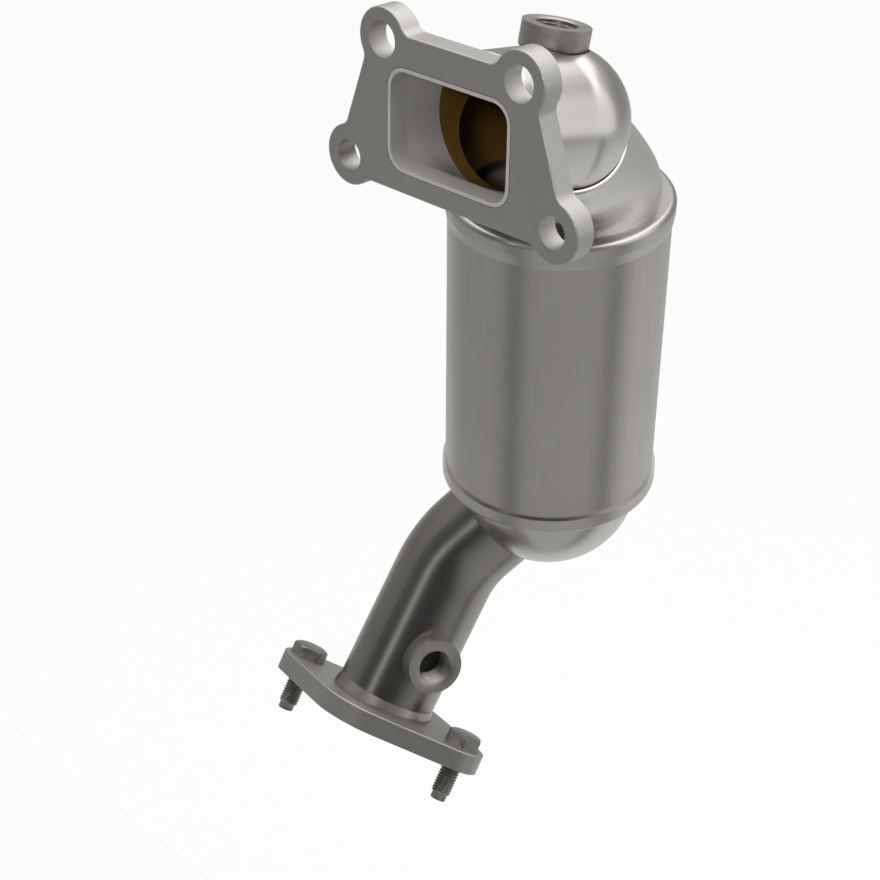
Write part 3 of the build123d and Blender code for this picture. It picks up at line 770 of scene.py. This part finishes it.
def thread_tree():
    """Tube whose wall rises and falls with a helix, and runs out at both ends."""
    tree = bpy.data.node_groups.new("cut_thread", "GeometryNodeTree")
    for label in ("Root Radius", "Depth", "Pitch", "Length", "Flare"):
        tree.interface.new_socket(label, in_out="INPUT", socket_type="NodeSocketFloat")
    tree.interface.new_socket("Material", in_out="INPUT", socket_type="NodeSocketMaterial")
    tree.interface.new_socket("Geometry", in_out="OUTPUT", socket_type="NodeSocketGeometry")
    asked = add(tree, "NodeGroupInput").outputs
    grid = add(tree, "GeometryNodeMeshGrid", inputs={
        "Size X": 1.0, "Size Y": 1.0, "Vertices X": THREAD_GRID[0], "Vertices Y": THREAD_GRID[1]})
    place = add(tree, "ShaderNodeSeparateXYZ", inputs={
        0: add(tree, "GeometryNodeInputPosition").outputs[0]})
    turn = add(tree, "ShaderNodeMath", {"operation": "ADD"}, {0: place.outputs[0], 1: 0.5}).outputs[0]
    run = add(tree, "ShaderNodeMath", {"operation": "MULTIPLY"}, {
        0: add(tree, "ShaderNodeMath", {"operation": "ADD"}, {0: place.outputs[1], 1: 0.5}).outputs[0],
        1: asked["Length"]}).outputs[0]
    phase = add(tree, "ShaderNodeMath", {"operation": "FRACT"}, {
        0: add(tree, "ShaderNodeMath", {"operation": "ADD"}, {
            0: add(tree, "ShaderNodeMath", {"operation": "DIVIDE"}, {0: run, 1: asked["Pitch"]}).outputs[0],
            1: turn}).outputs[0]}).outputs[0]
    flank = add(tree, "ShaderNodeMath", {"operation": "ABSOLUTE"}, {
        0: add(tree, "ShaderNodeMath", {"operation": "SUBTRACT"}, {
            0: add(tree, "ShaderNodeMath", {"operation": "MULTIPLY"}, {0: phase, 1: 2.0}).outputs[0],
            1: 1.0}).outputs[0]}).outputs[0]
    tooth = add(tree, "ShaderNodeMapRange", inputs={0: flank, 1: TOOTH_RISE[0], 2: TOOTH_RISE[1]}).outputs[0]
    end = add(tree, "ShaderNodeMath", {"operation": "MINIMUM"}, {
        0: run,
        1: add(tree, "ShaderNodeMath", {"operation": "SUBTRACT"}, {
            0: asked["Length"], 1: run}).outputs[0]}).outputs[0]
    full = add(tree, "ShaderNodeMapRange", inputs={0: end, 1: 0.0, 2: RUN_OUT * PITCH}).outputs[0]
    wave = add(tree, "ShaderNodeMath", {"operation": "MULTIPLY"}, {
        0: add(tree, "ShaderNodeMath", {"operation": "MULTIPLY"}, {0: tooth, 1: asked["Depth"]}).outputs[0],
        1: full}).outputs[0]
    flare = add(tree, "ShaderNodeMath", {"operation": "MULTIPLY"}, {
        0: add(tree, "ShaderNodeMath", {"operation": "SUBTRACT"}, {0: 1.0, 1: full}).outputs[0],
        1: asked["Flare"]}).outputs[0]
    radius = add(tree, "ShaderNodeMath", {"operation": "ADD"}, {
        0: add(tree, "ShaderNodeMath", {"operation": "ADD"}, {0: asked["Root Radius"], 1: wave}).outputs[0],
        1: flare}).outputs[0]
    angle = add(tree, "ShaderNodeMath", {"operation": "MULTIPLY"}, {0: turn, 1: 2 * math.pi}).outputs[0]
    spot = add(tree, "ShaderNodeCombineXYZ", inputs={
        0: add(tree, "ShaderNodeMath", {"operation": "MULTIPLY"}, {
            0: radius,
            1: add(tree, "ShaderNodeMath", {"operation": "COSINE"}, {0: angle}).outputs[0]}).outputs[0],
        1: add(tree, "ShaderNodeMath", {"operation": "MULTIPLY"}, {
            0: radius,
            1: add(tree, "ShaderNodeMath", {"operation": "SINE"}, {0: angle}).outputs[0]}).outputs[0],
        2: add(tree, "ShaderNodeMath", {"operation": "MULTIPLY"}, {0: run, 1: -1.0}).outputs[0]})
    bent = add(tree, "GeometryNodeSetPosition", inputs={
        "Geometry": grid.outputs["Mesh"], "Position": spot.outputs[0]})
    shut = add(tree, "GeometryNodeMergeByDistance", inputs={
        "Geometry": bent.outputs[0], "Distance": 0.001 * MM})
    real = add(tree, "GeometryNodeRealizeInstances", inputs={"Geometry": shut.outputs[0]})
    painted = add(tree, "GeometryNodeSetMaterial", inputs={
        "Geometry": real.outputs[0], "Material": asked["Material"]})
    add(tree, "NodeGroupOutput", inputs={0: painted.outputs[0]})
    return tree


cut_thread = thread_tree()


def add_thread(form, centre, axis, start, end, sizes, material, outwards):
    """Joins a thread to a piece, between two distances along an axis."""
    host = bpy.data.objects.new("thread", bpy.data.meshes.new("thread"))
    bpy.context.scene.collection.objects.link(host)
    change = host.modifiers.new("thread", "NODES")
    change.node_group = cut_thread
    asked = dict(zip(("Root Radius", "Depth", "Flare"), sizes))
    asked.update({"Pitch": PITCH, "Length": start - end, "Material": material})
    for item in cut_thread.interface.items_tree:
        if item.in_out == "INPUT":
            change[item.identifier] = asked[item.name]
    depsgraph = bpy.context.evaluated_depsgraph_get()
    data = bpy.data.meshes.new_from_object(host.evaluated_get(depsgraph))
    bpy.data.objects.remove(host)
    whole = bmesh.new()
    whole.from_mesh(form.data)
    before = len(whole.faces)
    data.polygons.foreach_set("material_index", [0] * len(data.polygons))
    place = Matrix.Translation(centre + axis * start) @ axis.to_track_quat("Z", "Y").to_matrix().to_4x4()
    data.transform(place)
    whole.from_mesh(data)
    whole.faces.ensure_lookup_table()
    added = whole.faces[before:]
    middle = added[len(added) // 2]
    spoke = middle.calc_center_median() - centre
    spoke -= axis * spoke.dot(axis)
    middle.normal_update()
    if (middle.normal.dot(spoke) > 0) != outwards:
        bmesh.ops.reverse_faces(whole, faces=added)
    whole.to_mesh(form.data)
    whole.free()


def copy_of(name, new_name):
    """The mesh of a node as an object of its own, with its corners merged."""
    mesh = bmesh.new()
    mesh.from_mesh(nodes[name].data)
    bmesh.ops.remove_doubles(mesh, verts=mesh.verts, dist=0.002 * MM)
    bmesh.ops.recalc_face_normals(mesh, faces=mesh.faces)
    data = bpy.data.meshes.new(new_name)
    mesh.to_mesh(data)
    mesh.free()
    form = bpy.data.objects.new(new_name, data)
    bpy.context.scene.collection.objects.link(form)
    return form


def open_wall(form, centre, axis, radius, stations):
    """Takes away the plain round wall that a thread replaces."""
    slack = 0.06 * MM
    mesh = bmesh.new()
    mesh.from_mesh(form.data)
    gone = []
    for face in mesh.faces:
        heights = [(v.co - centre).dot(axis) for v in face.verts]
        radii = [(v.co - centre - axis * h).length for v, h in zip(face.verts, heights)]
        on_wall = max(abs(r - radius) for r in radii) < slack
        if on_wall and min(heights) > stations[1] - slack and max(heights) < stations[0] + slack:
            gone.append(face)
    bmesh.ops.delete(mesh, geom=gone, context="FACES")
    mesh.to_mesh(form.data)
    mesh.free()


bung_steel = turned_steel("turned_bung_steel", "#aeaba7", "#9d9a96")
for side in ("upper", "lower"):
    face, axis = bung_place(side + "_sensor_port")
    bung = copy_of(side + "_sensor_bung", side + "_bung_threaded")
    open_wall(bung, face, axis, BUNG_BORE_R, BUNG_THREAD)
    sizes = (BUNG_ROOT_R, BUNG_DEPTH, BUNG_BORE_R - BUNG_ROOT_R)
    add_thread(bung, face, axis, *BUNG_THREAD, sizes, bung_steel, False)
    smooth(bung)
    hand_over(bung, "bung_steel", [bung_steel], side + "_sensor_bung")

# Outlet bolts
# M10 x 30 hexagon bolts with a dog point, zinc grey. The head and the plain shank follow the
# frame, and the thread is cut here below the flange.
BOLT_MOUNT_DROP = 18.3 * MM
BOLT_THREAD = (-11.0 * MM, -25.6 * MM)
BOLT_WALL_R = 4.7 * MM
BOLT_ROOT_R = 4.15 * MM
BOLT_DEPTH = 0.8 * MM
BOLT_SHARP = 20.0

# Zinc-plated steel: the same grain as the bungs, with darker patches
bolt_steel = turned_steel("zinc_plated_bolt_steel", "#aaa7a3", "#8f8c88")
for side in ("left", "right"):
    mount = mounts["outlet_bolt_end_" + side]
    down = Vector(mount["axis"]).normalized()
    seat = Vector(mount["pos_m"]) - down * BOLT_MOUNT_DROP
    bolt = copy_of("outlet_bolt_" + side, side + "_bolt_threaded")
    open_wall(bolt, seat, -down, BOLT_WALL_R, BOLT_THREAD)
    sizes = (BOLT_ROOT_R, BOLT_DEPTH, BOLT_WALL_R - BOLT_ROOT_R)
    add_thread(bolt, seat, -down, *BOLT_THREAD, sizes, bolt_steel, True)
    smooth(bolt, BOLT_SHARP)
    hand_over(bolt, "bolt_steel", [bolt_steel], "outlet_bolt_" + side)

# Sizes of the frame and of the dressed part
shown_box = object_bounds()
sizes = {"cad": [list(corner) for corner in cad_box], "shown": [list(corner) for corner in shown_box]}
